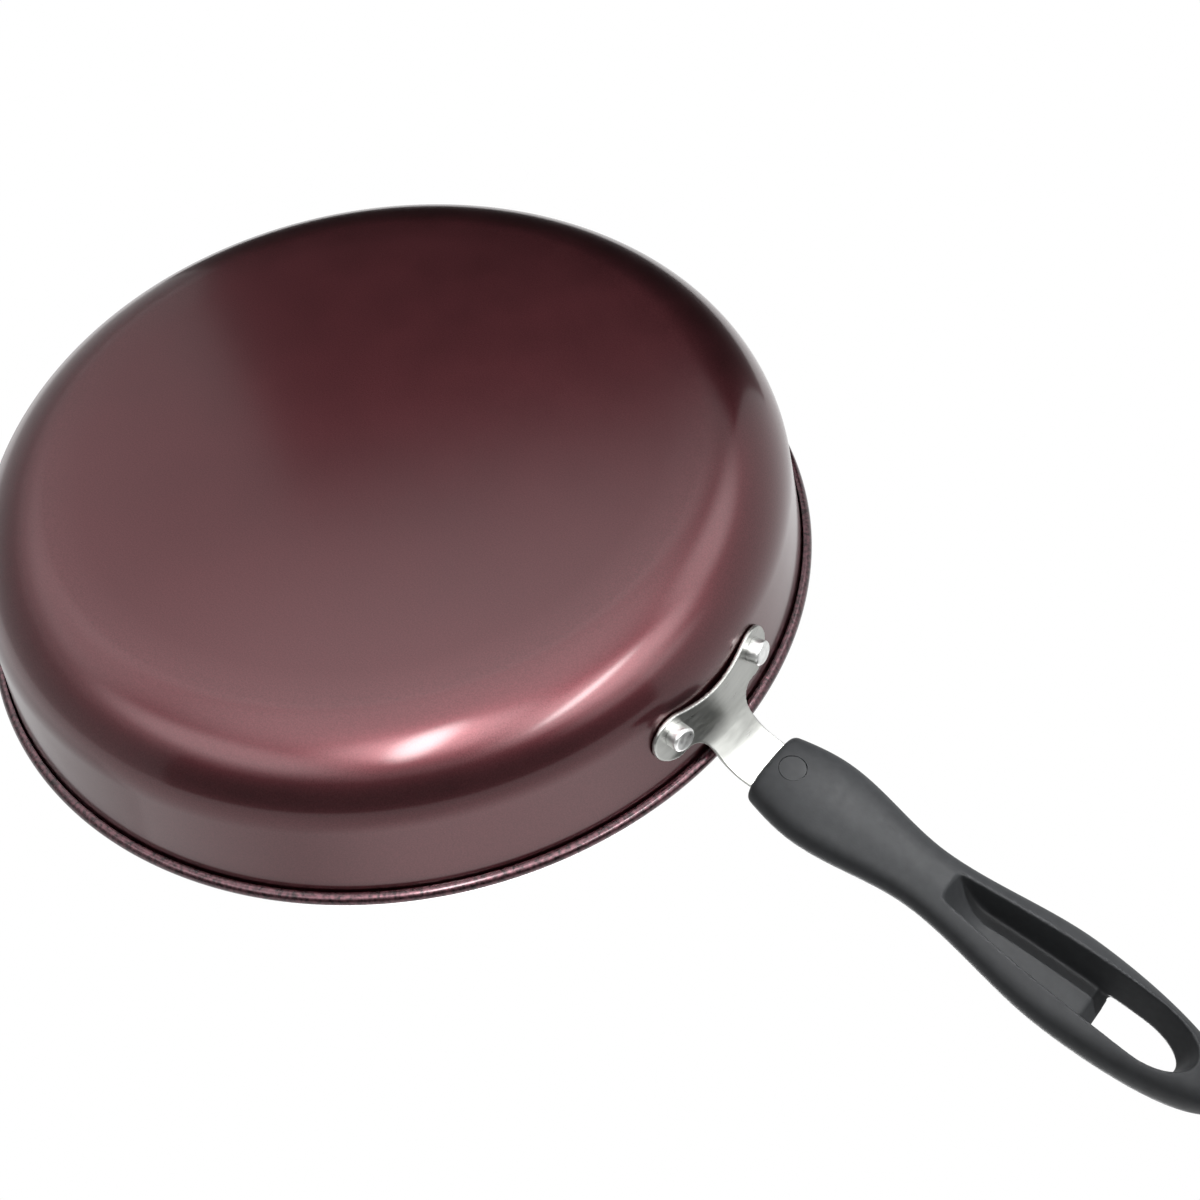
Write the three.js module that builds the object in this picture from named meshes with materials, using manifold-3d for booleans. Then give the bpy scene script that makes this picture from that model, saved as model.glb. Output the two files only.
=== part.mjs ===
// Pressed steel egg pan with a riveted bracket and a moulded grip.
// Millimetres, +Z up. The origin is the centre of the flat base and the handle runs along +X.

import * as THREE from 'three';
import { mergeVertices } from 'three/addons/utils/BufferGeometryUtils.js';
import Module from 'manifold-3d';

const wasm = await Module();
wasm.setup();

const degrees = THREE.MathUtils.degToRad;

// Space between two pieces that bear on each other
const CLEARANCE = 0.3;

// Pan body: one sheet with a flat base, a round heel, a flared wall and an open rolled rim
const RIM_RADIUS = 120;
const PAN_HEIGHT = 49;
const PAN_SHEET = 1.2;
const HEEL_RADIUS = 24.8;
const WALL_FLARE = degrees(5.4);
const BEAD_RADIUS = 2;
const BEAD_SLIT = 0.6;

// Rivets, measured down from the top of the rim and across the bracket
const RIVET_DROP = 20.5;
const RIVET_SPACING = 32.8;
const RIVET_SHANK = 5;
const RIVET_BUTTON = 7;
const RIVET_BUTTON_HEIGHT = 3.6;
const RIVET_BUTTON_EDGE = 0.9;
const RIVET_HEAD = 11;
const RIVET_HEAD_HEIGHT = 1.6;

// Bracket: ears on the wall, a neck that clears the rim and a tongue inside the grip
const BRACKET_SHEET = 1.2;
const EAR_RADIUS = 7.4;
const EAR_RAISE = 1.2;
const EAR_ARCH = 2.9;
const EAR_FILLET = 5.5;
const BRIDGE_LIFT = 0.6;
const NECK_ROOT_WIDTH = 16;
const NECK_MOUTH_WIDTH = 16.2;
const NECK_TILT = degrees(47.5);
const NECK_RUN = 3.5;
const RIM_GAP = 3;
const ROOT_BEND = 12;
const MOUTH_BEND = 15;
const MOUTH_RUN = 2;
const TONGUE_TILT = degrees(10.3);
const TONGUE_WIDTH = 12;
const TONGUE_LENGTH = 34;

// Grip: widths and thicknesses along its axis, measured from its mouth
const GRIP_LENGTH = 140.6;
const GRIP_RISE = 7.3;
const GRIP_DROP = 0.3;
const MOUTH_WIDTH = 21.4;
const MOUTH_THICKNESS = 13;
const MOUTH_EDGE = 1.5;
const SHOULDER_AT = 16.8;
const SHOULDER_WIDTH = 27;
const SHOULDER_THICKNESS = 14.4;
const WAIST_AT = 50;
const WAIST_WIDTH = 18.2;
const WAIST_THICKNESS = 11.2;
const PALM_AT = 93;
const PALM_WIDTH = 27.8;
const TAIL_AT = 122;
const TAIL_THICKNESS = 16;
const SECTION_POWER = 2.4;

// Pocket under the grip, open through the top at its rear as the hanging hole
const POCKET_LENGTH = 73.8;
const POCKET_END_WALL = 12.8;
const POCKET_SIDE_WALL = 5.3;
const POCKET_FRONT_WIDTH = 8.4;
const POCKET_NOSE = 14.3;
const POCKET_RAMP = 15;
const POCKET_DRAFT = 2.4;
const POCKET_WEB = 3.6;
const HOLE_LENGTH = 21.8;
const HOLE_FRONT_WIDTH = 11.5;
const HOLE_LEAD_IN = 4.2;
const HOLE_FLARE = 2;

// Screw, washer and plug share one counterbore in the underside of the grip
const SCREW_AT = 6.4;
const SCREW_SHANK = 4;
const SCREW_REACH = 3.5;
const SCREW_HEAD_HEIGHT = 1.6;
const COUNTERBORE = 7.6;
const WASHER_HEIGHT = 0.8;
const PLUG_HEIGHT = 1.3;
const PLUG_EDGE = 0.25;

// Facets
const PAN_SEGMENTS = 96;
const ROUND_SEGMENTS = 24;
const GRIP_SEGMENTS = 32;
const ARC_STEPS = 6;

// Cutting tools reach past the piece by this much
const OVERSHOOT = 80;

const paint = new THREE.MeshStandardMaterial({ color: 0x6a363b, roughness: 0.35, metalness: 0.5 });
const steel = new THREE.MeshStandardMaterial({ color: 0xc4c6c0, roughness: 0.4, metalness: 0.9 });
const aluminium = new THREE.MeshStandardMaterial({ color: 0xd4d6d4, roughness: 0.35, metalness: 0.9 });
const zinc = new THREE.MeshStandardMaterial({ color: 0xb0b2b0, roughness: 0.4, metalness: 0.9 });
const phenolic = new THREE.MeshStandardMaterial({ color: 0x3a3b3d, roughness: 0.55, metalness: 0 });

// Solids and meshes

function toSolid(geometry) {
  const bare = geometry.clone();
  bare.deleteAttribute('normal');
  bare.deleteAttribute('uv');
  const merged = mergeVertices(bare);
  const corners = [];
  for (let i = 0; i < merged.index.count; i += 3) {
    const [a, b, c] = [0, 1, 2].map((k) => merged.index.getX(i + k));
    if (a !== b && b !== c && c !== a) {
      corners.push(a, b, c);
    }
  }
  const vertProperties = new Float32Array(merged.attributes.position.array);
  const triVerts = new Uint32Array(corners);
  return new wasm.Manifold(new wasm.Mesh({ numProp: 3, vertProperties, triVerts }));
}

function toMesh(name, solid, material) {
  const { vertProperties, triVerts } = solid.getMesh();
  const geometry = new THREE.BufferGeometry();
  geometry.setAttribute('position', new THREE.BufferAttribute(vertProperties, 3));
  geometry.setIndex(new THREE.BufferAttribute(triVerts, 1));
  geometry.computeVertexNormals();
  const mesh = new THREE.Mesh(geometry, material);
  mesh.name = name;
  return mesh;
}

// A solid of revolution about +Z from a profile of radius and height
function turned(profile, segments) {
  const points = profile.map(([radius, height]) => new THREE.Vector2(radius, height));
  return new THREE.LatheGeometry(points, segments).rotateX(Math.PI / 2);
}

// A plain round bar along +Z
function bar(diameter, bottom, top) {
  const radius = diameter / 2;
  return turned([[0, bottom], [radius, bottom], [radius, top], [0, top]], ROUND_SEGMENTS);
}

// A closed skin over rings of points, with a fan of triangles on a centre point at each end
function loft(rings, firstCentre, lastCentre) {
  const count = rings[0].length;
  const points = [...rings.flat(), firstCentre, lastCentre];
  const first = points.length - 2;
  const last = points.length - 1;
  const end = (rings.length - 1) * count;
  const index = [];
  for (let j = 0; j < count; j += 1) {
    const k = (j + 1) % count;
    for (let row = 0; row < end; row += count) {
      index.push(row + j, row + k, row + count + j, row + k, row + count + k, row + count + j);
    }
    index.push(first, k, j, last, end + j, end + k);
  }
  const geometry = new THREE.BufferGeometry().setFromPoints(points);
  geometry.setIndex(index);
  return geometry;
}

function arc(centre, radius, from, to, steps) {
  return Array.from({ length: steps + 1 }, (_, i) => {
    const angle = from + (to - from) * i / steps;
    return [centre[0] + radius * Math.cos(angle), centre[1] + radius * Math.sin(angle)];
  });
}

// Pan body

const beadCentre = [RIM_RADIUS - BEAD_RADIUS, PAN_HEIGHT - BEAD_RADIUS];
const curlRadius = BEAD_RADIUS - PAN_SHEET;
const wallLean = (beadCentre[1] - HEEL_RADIUS) * Math.sin(WALL_FLARE);
const heelInset = (curlRadius + HEEL_RADIUS + wallLean) / Math.cos(WALL_FLARE);
const heelCentre = [beadCentre[0] - heelInset, HEEL_RADIUS];

// Radius of the outside of the wall at a height above the heel
function wallRadius(height) {
  const above = height - beadCentre[1];
  return beadCentre[0] + (above * Math.sin(WALL_FLARE) - curlRadius) / Math.cos(WALL_FLARE);
}

function panProfile() {
  const down = -Math.PI / 2;
  const wallSide = Math.PI - WALL_FLARE;
  const curlEnd = -Math.acos((BEAD_SLIT - curlRadius) / BEAD_RADIUS) - WALL_FLARE;
  return [
    [0, 0],
    ...arc(heelCentre, HEEL_RADIUS, down, -WALL_FLARE, ARC_STEPS),
    ...arc(beadCentre, curlRadius, wallSide, curlEnd, ARC_STEPS),
    ...arc(beadCentre, BEAD_RADIUS, curlEnd, wallSide, 2 * ARC_STEPS),
    ...arc(heelCentre, HEEL_RADIUS - PAN_SHEET, -WALL_FLARE, down, ARC_STEPS),
    [0, PAN_SHEET],
  ];
}

// Rivets

const rivetHeight = PAN_HEIGHT - RIVET_DROP;
const rivetWallRadius = wallRadius(rivetHeight);
const rivetAngle = Math.asin(RIVET_SPACING / 2 / rivetWallRadius);

// Sets an object on the outside of the wall at a rivet, with its +Z along the wall's normal
function placeAtRivet(object, side) {
  const turn = side * rivetAngle;
  const normal = new THREE.Vector3(
    Math.cos(WALL_FLARE) * Math.cos(turn),
    Math.cos(WALL_FLARE) * Math.sin(turn),
    -Math.sin(WALL_FLARE),
  );
  object.position.set(rivetWallRadius * Math.cos(turn), rivetWallRadius * Math.sin(turn), rivetHeight);
  object.quaternion.setFromUnitVectors(new THREE.Vector3(0, 0, 1), normal);
  object.updateMatrix();
  return object;
}

function rivetGeometry() {
  const shank = RIVET_SHANK / 2;
  const button = RIVET_BUTTON / 2;
  const head = RIVET_HEAD / 2;
  const innerRadius = rivetWallRadius - PAN_SHEET;
  const headSag = innerRadius - Math.sqrt(innerRadius ** 2 - head ** 2);
  const headSeat = -PAN_SHEET - CLEARANCE - headSag;
  const buttonSeat = BRACKET_SHEET + 2 * CLEARANCE;
  const buttonTop = buttonSeat + RIVET_BUTTON_HEIGHT;
  const edgeCentre = [button - RIVET_BUTTON_EDGE, buttonTop - RIVET_BUTTON_EDGE];
  const domeRadius = (head ** 2 + RIVET_HEAD_HEIGHT ** 2) / (2 * RIVET_HEAD_HEIGHT);
  const domeCentre = [0, headSeat - RIVET_HEAD_HEIGHT + domeRadius];
  const down = -Math.PI / 2;
  const domeEnd = down + Math.asin(head / domeRadius);
  return turned([
    ...arc(domeCentre, domeRadius, down, domeEnd, ARC_STEPS / 2),
    [shank, headSeat],
    [shank, buttonSeat],
    [button, buttonSeat],
    ...arc(edgeCentre, RIVET_BUTTON_EDGE, 0, Math.PI / 2, ARC_STEPS / 2),
    [0, buttonTop],
  ], ROUND_SEGMENTS);
}

function rivetHole(side) {
  const tool = new THREE.Mesh(bar(RIVET_SHANK + 2 * CLEARANCE, -RIVET_HEAD, RIVET_HEAD));
  return toSolid(tool.geometry.applyMatrix4(placeAtRivet(tool, side).matrix));
}

const rivetSides = { rivet_left: 1, rivet_right: -1 };
const rivetHoles = Object.values(rivetSides).map(rivetHole);

function makePanBody() {
  const shell = toSolid(turned(panProfile(), PAN_SEGMENTS));
  const drilled = rivetHoles.reduce((solid, hole) => solid.subtract(hole), shell);
  return toMesh('pan_body', drilled, paint);
}

function makeRivet(name) {
  return placeAtRivet(toMesh(name, toSolid(rivetGeometry()), aluminium), rivetSides[name]);
}

// Bracket

// Middle line of the bent sheet in the XZ plane: along the wall, out past the rim, into the grip
function bracketLine() {
  const offset = CLEARANCE + BRACKET_SHEET / 2;
  const outward = offset + ROOT_BEND - curlRadius;
  const reach = ROOT_BEND + BRACKET_SHEET / 2 + RIM_GAP + BEAD_RADIUS;
  const rise = Math.sqrt(reach ** 2 - outward ** 2);
  const wallHeading = Math.PI / 2 - WALL_FLARE;
  const bendHeight = beadCentre[1] - rise * Math.sin(wallHeading);
  const plateRun = bendHeight - (rivetHeight - 2 * EAR_RADIUS);
  const pen = {
    x: wallRadius(bendHeight) + offset * Math.sin(wallHeading) - plateRun * Math.cos(wallHeading),
    z: bendHeight - offset * Math.cos(wallHeading) - plateRun * Math.sin(wallHeading),
    heading: wallHeading,
  };
  const line = [{ ...pen }];
  const run = (length) => {
    pen.x += length * Math.cos(pen.heading);
    pen.z += length * Math.sin(pen.heading);
    line.push({ ...pen });
  };
  const bend = (radius, heading) => {
    const step = (pen.heading - heading) / ARC_STEPS;
    for (let i = 0; i < ARC_STEPS; i += 1) {
      const chord = pen.heading - step / 2;
      pen.x += 2 * radius * Math.sin(step / 2) * Math.cos(chord);
      pen.z += 2 * radius * Math.sin(step / 2) * Math.sin(chord);
      pen.heading -= step;
      line.push({ ...pen });
    }
  };
  run(plateRun);
  bend(ROOT_BEND, NECK_TILT);
  run(NECK_RUN);
  bend(MOUTH_BEND, TONGUE_TILT);
  run(MOUTH_RUN);
  const mouth = { ...pen };
  run(TONGUE_LENGTH);
  return { line, mouth };
}

const { line: sheetLine, mouth: gripMouth } = bracketLine();

// The handle's own frame: origin at the mouth of the grip, +X along the tongue
const handle = new THREE.Group();
handle.position.set(gripMouth.x, 0, gripMouth.z);
handle.rotation.y = -gripMouth.heading;
handle.updateMatrix();

// The sheet bent along its line and curved round the wall, before its outline is cut
function bentSheet() {
  const half = BRACKET_SHEET / 2;
  const side = (shift) => sheetLine.map(({ x, z, heading }) => new THREE.Vector2(
    x - shift * Math.sin(heading),
    z + shift * Math.cos(heading),
  ));
  const width = RIVET_SPACING + 4 * EAR_RADIUS;
  const section = new THREE.Shape([...side(-half), ...side(half).reverse()]);
  const options = { depth: width, steps: ROUND_SEGMENTS, bevelEnabled: false };
  const sheet = new THREE.ExtrudeGeometry(section, options);
  sheet.rotateX(Math.PI / 2).translate(0, width / 2, 0);
  const position = sheet.attributes.position;
  for (let i = 0; i < position.count; i += 1) {
    const y = position.getY(i);
    const along = THREE.MathUtils.smoothstep(position.getX(i), rivetWallRadius, gripMouth.x);
    const wallCurve = rivetWallRadius - Math.sqrt(rivetWallRadius ** 2 - y ** 2);
    const inBridge = Math.min(Math.abs(y) / (RIVET_SPACING / 2), 1);
    const bridge = BRIDGE_LIFT * (1 + Math.cos(Math.PI * inBridge)) / 2;
    position.setX(i, position.getX(i) + (bridge - wallCurve) * (1 - along));
  }
  return toSolid(sheet);
}

// Outline of ears and neck seen along X, as a bar of that section
function earOutline() {
  const y = RIVET_SPACING / 2;
  const z = rivetHeight + EAR_RAISE;
  const archDrop = EAR_RADIUS - EAR_ARCH;
  const archRadius = (y ** 2 + archDrop ** 2 - EAR_RADIUS ** 2) / (2 * EAR_ARCH);
  const archZ = z - archDrop - archRadius;
  const archAngle = Math.atan2(z - archZ, y);
  const root = NECK_ROOT_WIDTH / 2;
  const filletY = root + EAR_FILLET;
  const filletZ = z + Math.sqrt((EAR_RADIUS + EAR_FILLET) ** 2 - (filletY - y) ** 2);
  const filletAngle = Math.atan2(filletZ - z, filletY - y);
  const flare = (NECK_MOUTH_WIDTH / 2 - root) / (gripMouth.z - filletZ);
  const top = gripMouth.z + OVERSHOOT;
  const topHalf = root + flare * (top - filletZ);
  const outline = new THREE.Shape();
  outline.absarc(0, archZ, archRadius, Math.PI - archAngle, archAngle, true);
  outline.absarc(y, z, EAR_RADIUS, archAngle - Math.PI, filletAngle, false);
  outline.absarc(filletY, filletZ, EAR_FILLET, filletAngle - Math.PI, -Math.PI, true);
  outline.lineTo(topHalf, top);
  outline.lineTo(-topHalf, top);
  outline.absarc(-filletY, filletZ, EAR_FILLET, 0, -filletAngle, true);
  outline.absarc(-y, z, EAR_RADIUS, Math.PI - filletAngle, 2 * Math.PI - archAngle, false);
  const depth = gripMouth.x + OVERSHOOT;
  const options = { depth, curveSegments: ARC_STEPS, bevelEnabled: false };
  const block = new THREE.ExtrudeGeometry(outline, options);
  return toSolid(block.rotateX(Math.PI / 2).rotateZ(Math.PI / 2));
}

// Outline of the tongue seen square to it: full width up to the mouth, then narrow with a round end
function tongueOutline() {
  const half = TONGUE_WIDTH / 2;
  const outline = new THREE.Shape();
  outline.moveTo(-OVERSHOOT, -OVERSHOOT);
  outline.lineTo(-CLEARANCE, -OVERSHOOT);
  outline.lineTo(-CLEARANCE, -half);
  outline.absarc(TONGUE_LENGTH - half, 0, half, -Math.PI / 2, Math.PI / 2, false);
  outline.lineTo(-CLEARANCE, half);
  outline.lineTo(-CLEARANCE, OVERSHOOT);
  outline.lineTo(-OVERSHOOT, OVERSHOOT);
  const options = { depth: 2 * OVERSHOOT, curveSegments: ARC_STEPS, bevelEnabled: false };
  const block = new THREE.ExtrudeGeometry(outline, options).translate(0, 0, -OVERSHOOT);
  return toSolid(block.applyMatrix4(handle.matrix));
}

function screwHole(bottom, top) {
  return bar(SCREW_SHANK + 2 * CLEARANCE, bottom, top).translate(SCREW_AT, 0, 0);
}

function makeBracket() {
  const blank = bentSheet().intersect(earOutline()).intersect(tongueOutline());
  const tapped = toSolid(screwHole(-BRACKET_SHEET, BRACKET_SHEET).applyMatrix4(handle.matrix));
  const drilled = [...rivetHoles, tapped].reduce((solid, hole) => solid.subtract(hole), blank);
  return toMesh('handle_bracket', drilled, steel);
}

// Grip, in the handle's frame

// An eased step between two stations where the size is at its largest or smallest
function ease(x, fromX, from, toX, to) {
  return from + (to - from) * THREE.MathUtils.smoothstep(x, fromX, toX);
}

function ellipseEnd(x, from) {
  return Math.sqrt(1 - (Math.max(x - from, 0) / (GRIP_LENGTH - from)) ** 2);
}

function swell(x, mouth, shoulder) {
  return mouth + (shoulder - mouth) * Math.sin(Math.PI / 2 * x / SHOULDER_AT);
}

function mouthInset(x) {
  const short = Math.max(MOUTH_EDGE - x, 0);
  return MOUTH_EDGE - Math.sqrt(MOUTH_EDGE ** 2 - short ** 2);
}

function gripHalfWidth(x) {
  let width = PALM_WIDTH * ellipseEnd(x, PALM_AT);
  if (x < SHOULDER_AT) {
    width = swell(x, MOUTH_WIDTH, SHOULDER_WIDTH);
  } else if (x < WAIST_AT) {
    width = ease(x, SHOULDER_AT, SHOULDER_WIDTH, WAIST_AT, WAIST_WIDTH);
  } else if (x < PALM_AT) {
    width = ease(x, WAIST_AT, WAIST_WIDTH, PALM_AT, PALM_WIDTH);
  }
  return width / 2 - mouthInset(x);
}

function gripHalfThickness(x) {
  let thickness = TAIL_THICKNESS * ellipseEnd(x, TAIL_AT);
  if (x < SHOULDER_AT) {
    thickness = swell(x, MOUTH_THICKNESS, SHOULDER_THICKNESS);
  } else if (x < WAIST_AT) {
    thickness = ease(x, SHOULDER_AT, SHOULDER_THICKNESS, WAIST_AT, WAIST_THICKNESS);
  } else if (x < TAIL_AT) {
    thickness = ease(x, WAIST_AT, WAIST_THICKNESS, TAIL_AT, TAIL_THICKNESS);
  }
  return thickness / 2 - mouthInset(x);
}

function gripAxis(x) {
  return GRIP_RISE * (x / GRIP_LENGTH) ** 2 - GRIP_DROP;
}

function gripSlope(x) {
  return Math.atan(2 * GRIP_RISE * x / GRIP_LENGTH ** 2);
}

// A sine or cosine reshaped so that the section lies between an ellipse and a rectangle
function squared(wave) {
  return Math.sign(wave) * Math.abs(wave) ** (2 / SECTION_POWER);
}

// One rounded section of the grip, square to its axis
function gripRing(x) {
  const slope = gripSlope(x);
  return Array.from({ length: GRIP_SEGMENTS }, (_, i) => {
    const angle = 2 * Math.PI * i / GRIP_SEGMENTS;
    const across = squared(Math.cos(angle));
    const up = gripHalfThickness(x) * squared(Math.sin(angle));
    return new THREE.Vector3(
      x - up * Math.sin(slope),
      gripHalfWidth(x) * across,
      gripAxis(x) + up * Math.cos(slope),
    );
  });
}

function gripBlank() {
  const edge = arc([MOUTH_EDGE, 0], MOUTH_EDGE, Math.PI, Math.PI / 2, ARC_STEPS / 2);
  const stations = edge.map(([x]) => x);
  const bodySteps = 3 * ARC_STEPS;
  for (let i = 1; i < bodySteps; i += 1) {
    stations.push(MOUTH_EDGE + (PALM_AT - MOUTH_EDGE) * i / bodySteps);
  }
  const tailSteps = 2 * ARC_STEPS;
  for (let i = 0; i < tailSteps; i += 1) {
    stations.push(PALM_AT + (GRIP_LENGTH - PALM_AT) * Math.sin(Math.PI / 2 * i / tailSteps));
  }
  const mouthCentre = new THREE.Vector3(0, 0, gripAxis(0));
  const tip = new THREE.Vector3(GRIP_LENGTH, 0, gripAxis(GRIP_LENGTH));
  return toSolid(loft(stations.map(gripRing), mouthCentre, tip));
}

// A drop-shaped outline along X: a narrow front edge, swelling sides and an elliptical rear
function drop(front, frontWidth, rear, rearWidth, nose) {
  const side = rearWidth / 2;
  const noseX = rear - nose;
  const outline = new THREE.Path();
  outline.moveTo(front, -frontWidth / 2);
  outline.quadraticCurveTo((front + noseX) / 2, -side, noseX, -side);
  outline.absellipse(noseX, 0, nose, side, -Math.PI / 2, Math.PI / 2, false);
  outline.quadraticCurveTo((front + noseX) / 2, side, front, frontWidth / 2);
  return outline.getPoints(ARC_STEPS);
}

// A tapered tool through a stack of outlines, each [height, outline]
function taperedTool(levels, frame) {
  const rings = levels.map(([z, outline]) => outline.map(({ x, y }) => new THREE.Vector3(x, y, z)));
  const middle = (ring) => {
    const sum = ring.reduce((total, point) => total.add(point), new THREE.Vector3());
    return sum.divideScalar(ring.length);
  };
  const tool = loft(rings, middle(rings[0]), middle(rings[rings.length - 1]));
  return toSolid(tool.applyMatrix4(frame));
}

const pocketRear = POCKET_LENGTH / 2;
const pocketWidth = PALM_WIDTH - 2 * POCKET_SIDE_WALL;

// Outlines of the pocket from its mouth to its floor, where the front slopes in and eases into the floor
function pocketLevels(underside, floor) {
  return Array.from({ length: ARC_STEPS + 1 }, (_, i) => {
    const along = i / ARC_STEPS;
    const depth = along * (2 - along);
    const draft = POCKET_DRAFT * depth;
    const front = POCKET_RAMP * along - pocketRear;
    const width = pocketWidth - 2 * draft;
    const outline = drop(front, POCKET_FRONT_WIDTH, pocketRear - draft, width, POCKET_NOSE - draft);
    return [underside + (floor - underside) * depth, outline];
  });
}

// Pocket and hanging hole are cut square to the grip's axis at the middle of the pocket
function cutPocket(grip) {
  const middle = GRIP_LENGTH - POCKET_END_WALL - pocketRear;
  const frame = new THREE.Matrix4().makeRotationY(-gripSlope(middle));
  frame.setPosition(middle, 0, gripAxis(middle));
  const underside = -gripHalfThickness(middle);
  const floor = gripHalfThickness(middle) - POCKET_WEB;
  const levels = pocketLevels(underside, floor);
  const mouth = [underside - TAIL_THICKNESS, levels[0][1]];
  const pocket = taperedTool([mouth, ...levels], frame);
  const floorRear = pocketRear - POCKET_DRAFT;
  const floorWidth = pocketWidth - 2 * POCKET_DRAFT;
  const floorNose = POCKET_NOSE - POCKET_DRAFT;
  const holeFront = floorRear - HOLE_LENGTH;
  const holeBottom = drop(holeFront - HOLE_LEAD_IN, HOLE_FRONT_WIDTH, floorRear, floorWidth, floorNose);
  const holeTop = drop(
    holeFront,
    HOLE_FRONT_WIDTH + 2 * HOLE_FLARE,
    floorRear + HOLE_FLARE,
    floorWidth + 2 * HOLE_FLARE,
    floorNose + HOLE_FLARE,
  );
  const opening = taperedTool([
    [floor - CLEARANCE, holeBottom],
    [floor + POCKET_WEB, holeTop],
    [floor + TAIL_THICKNESS, holeTop],
  ], frame);
  return grip.subtract(pocket).subtract(opening);
}

// Heights of the stacked fasteners in the counterbore, from the underside of the grip up
const plugBottom = gripAxis(SCREW_AT) - gripHalfThickness(SCREW_AT) + PLUG_EDGE;
const plugTop = plugBottom + PLUG_HEIGHT;
const headBottom = plugTop + CLEARANCE;
const headTop = headBottom + SCREW_HEAD_HEIGHT;
const washerBottom = headTop + CLEARANCE;
const washerTop = washerBottom + WASHER_HEIGHT;
const screwTop = BRACKET_SHEET / 2 + SCREW_REACH;
const fastenerDiameter = COUNTERBORE - 2 * CLEARANCE;

function makeGrip() {
  const slotWidth = TONGUE_WIDTH + 2 * CLEARANCE;
  const slotHeight = BRACKET_SHEET + 2 * CLEARANCE;
  const slotEnd = TONGUE_LENGTH + CLEARANCE;
  const slot = new THREE.BoxGeometry(2 * slotEnd, slotWidth, slotHeight);
  const counterbore = bar(COUNTERBORE, plugBottom - PLUG_HEIGHT, washerTop + CLEARANCE);
  counterbore.translate(SCREW_AT, 0, 0);
  const tools = [slot, counterbore, screwHole(washerBottom, screwTop + CLEARANCE)].map(toSolid);
  const socketed = tools.reduce((solid, tool) => solid.subtract(tool), gripBlank());
  return toMesh('handle_grip', cutPocket(socketed), phenolic);
}

function makeScrew() {
  const head = fastenerDiameter / 2;
  const shank = SCREW_SHANK / 2;
  const profile = [
    [0, headBottom],
    [head, headBottom],
    [head, headTop],
    [shank, headTop],
    [shank, screwTop],
    [0, screwTop],
  ];
  const screw = toMesh('handle_screw', toSolid(turned(profile, ROUND_SEGMENTS)), zinc);
  screw.position.x = SCREW_AT;
  return screw;
}

function makeWasher() {
  const outer = fastenerDiameter / 2;
  const inner = SCREW_SHANK / 2 + CLEARANCE;
  const section = [[inner, washerBottom], [outer, washerBottom], [outer, washerTop], [inner, washerTop]];
  const ring = turned([...section, section[0]], ROUND_SEGMENTS);
  const washer = toMesh('lock_washer', toSolid(ring), zinc);
  washer.position.x = SCREW_AT;
  return washer;
}

function makePlug() {
  const radius = fastenerDiameter / 2;
  const edge = [radius - PLUG_EDGE, plugBottom + PLUG_EDGE];
  const profile = [
    [0, plugBottom],
    ...arc(edge, PLUG_EDGE, -Math.PI / 2, 0, ARC_STEPS / 2),
    [radius, plugTop],
    [0, plugTop],
  ];
  const plug = toMesh('screw_plug', toSolid(turned(profile, ROUND_SEGMENTS)), phenolic);
  plug.position.x = SCREW_AT;
  return plug;
}

handle.add(makeGrip(), makeScrew(), makeWasher(), makePlug());

const eggPan = new THREE.Group();
eggPan.add(makePanBody(), makeBracket(), ...Object.keys(rivetSides).map(makeRivet), handle);

export default eggPan;
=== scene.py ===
import math

import bmesh
import bpy
from mathutils import Matrix, Vector


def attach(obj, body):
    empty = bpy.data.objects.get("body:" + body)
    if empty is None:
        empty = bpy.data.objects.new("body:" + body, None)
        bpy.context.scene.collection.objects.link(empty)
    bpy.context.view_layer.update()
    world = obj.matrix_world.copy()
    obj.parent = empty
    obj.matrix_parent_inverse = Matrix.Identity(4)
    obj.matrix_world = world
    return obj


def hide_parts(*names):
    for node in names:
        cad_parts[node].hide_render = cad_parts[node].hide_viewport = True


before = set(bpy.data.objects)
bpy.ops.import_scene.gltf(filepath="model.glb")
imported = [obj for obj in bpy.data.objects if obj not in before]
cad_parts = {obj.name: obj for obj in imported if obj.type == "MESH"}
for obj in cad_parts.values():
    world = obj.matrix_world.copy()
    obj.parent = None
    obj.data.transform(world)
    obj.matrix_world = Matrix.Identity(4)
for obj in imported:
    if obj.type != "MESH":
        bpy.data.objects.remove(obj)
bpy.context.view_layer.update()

# Sizes in millimetres. The origin is the centre of the flat base and the handle runs along +X.
MM = 0.001
CLEARANCE = 0.3

# Pan body
RIM_RADIUS = 120
PAN_HEIGHT = 49
PAN_SHEET = 1.2
HEEL_RADIUS = 24.5
BASE_EASE_RADIUS = 300
BASE_EASE_ANGLE = math.radians(2)
WALL_FLARE = math.radians(5.4)
BEAD_RADIUS = 2
BEAD_SLIT = 0.6

# Rivets
RIVET_DROP = 20.5
RIVET_SPACING = 32.8
RIVET_SHANK = 5
RIVET_BUTTON = 7
RIVET_BUTTON_HEIGHT = 3.6
RIVET_BUTTON_EDGE = 0.9
RIVET_HEAD = 11
RIVET_HEAD_HEIGHT = 1.6
RIVET_SEAT_GAP = 0.05

# Bracket
BRACKET_SHEET = 1.2
EAR_RADIUS = 7.4
EAR_RAISE = 1.2
EAR_ARCH = 2.9
EAR_FILLET = 5.5
BRIDGE_LIFT = 0.6
NECK_ROOT_WIDTH = 16
NECK_MOUTH_WIDTH = 16.2
NECK_TILT = math.radians(47.5)
NECK_RUN = 3.5
RIM_GAP = 3
ROOT_BEND = 12
MOUTH_BEND = 15
MOUTH_RUN = 2
TONGUE_TILT = math.radians(10.3)
TONGUE_WIDTH = 12
TONGUE_LENGTH = 34

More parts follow.
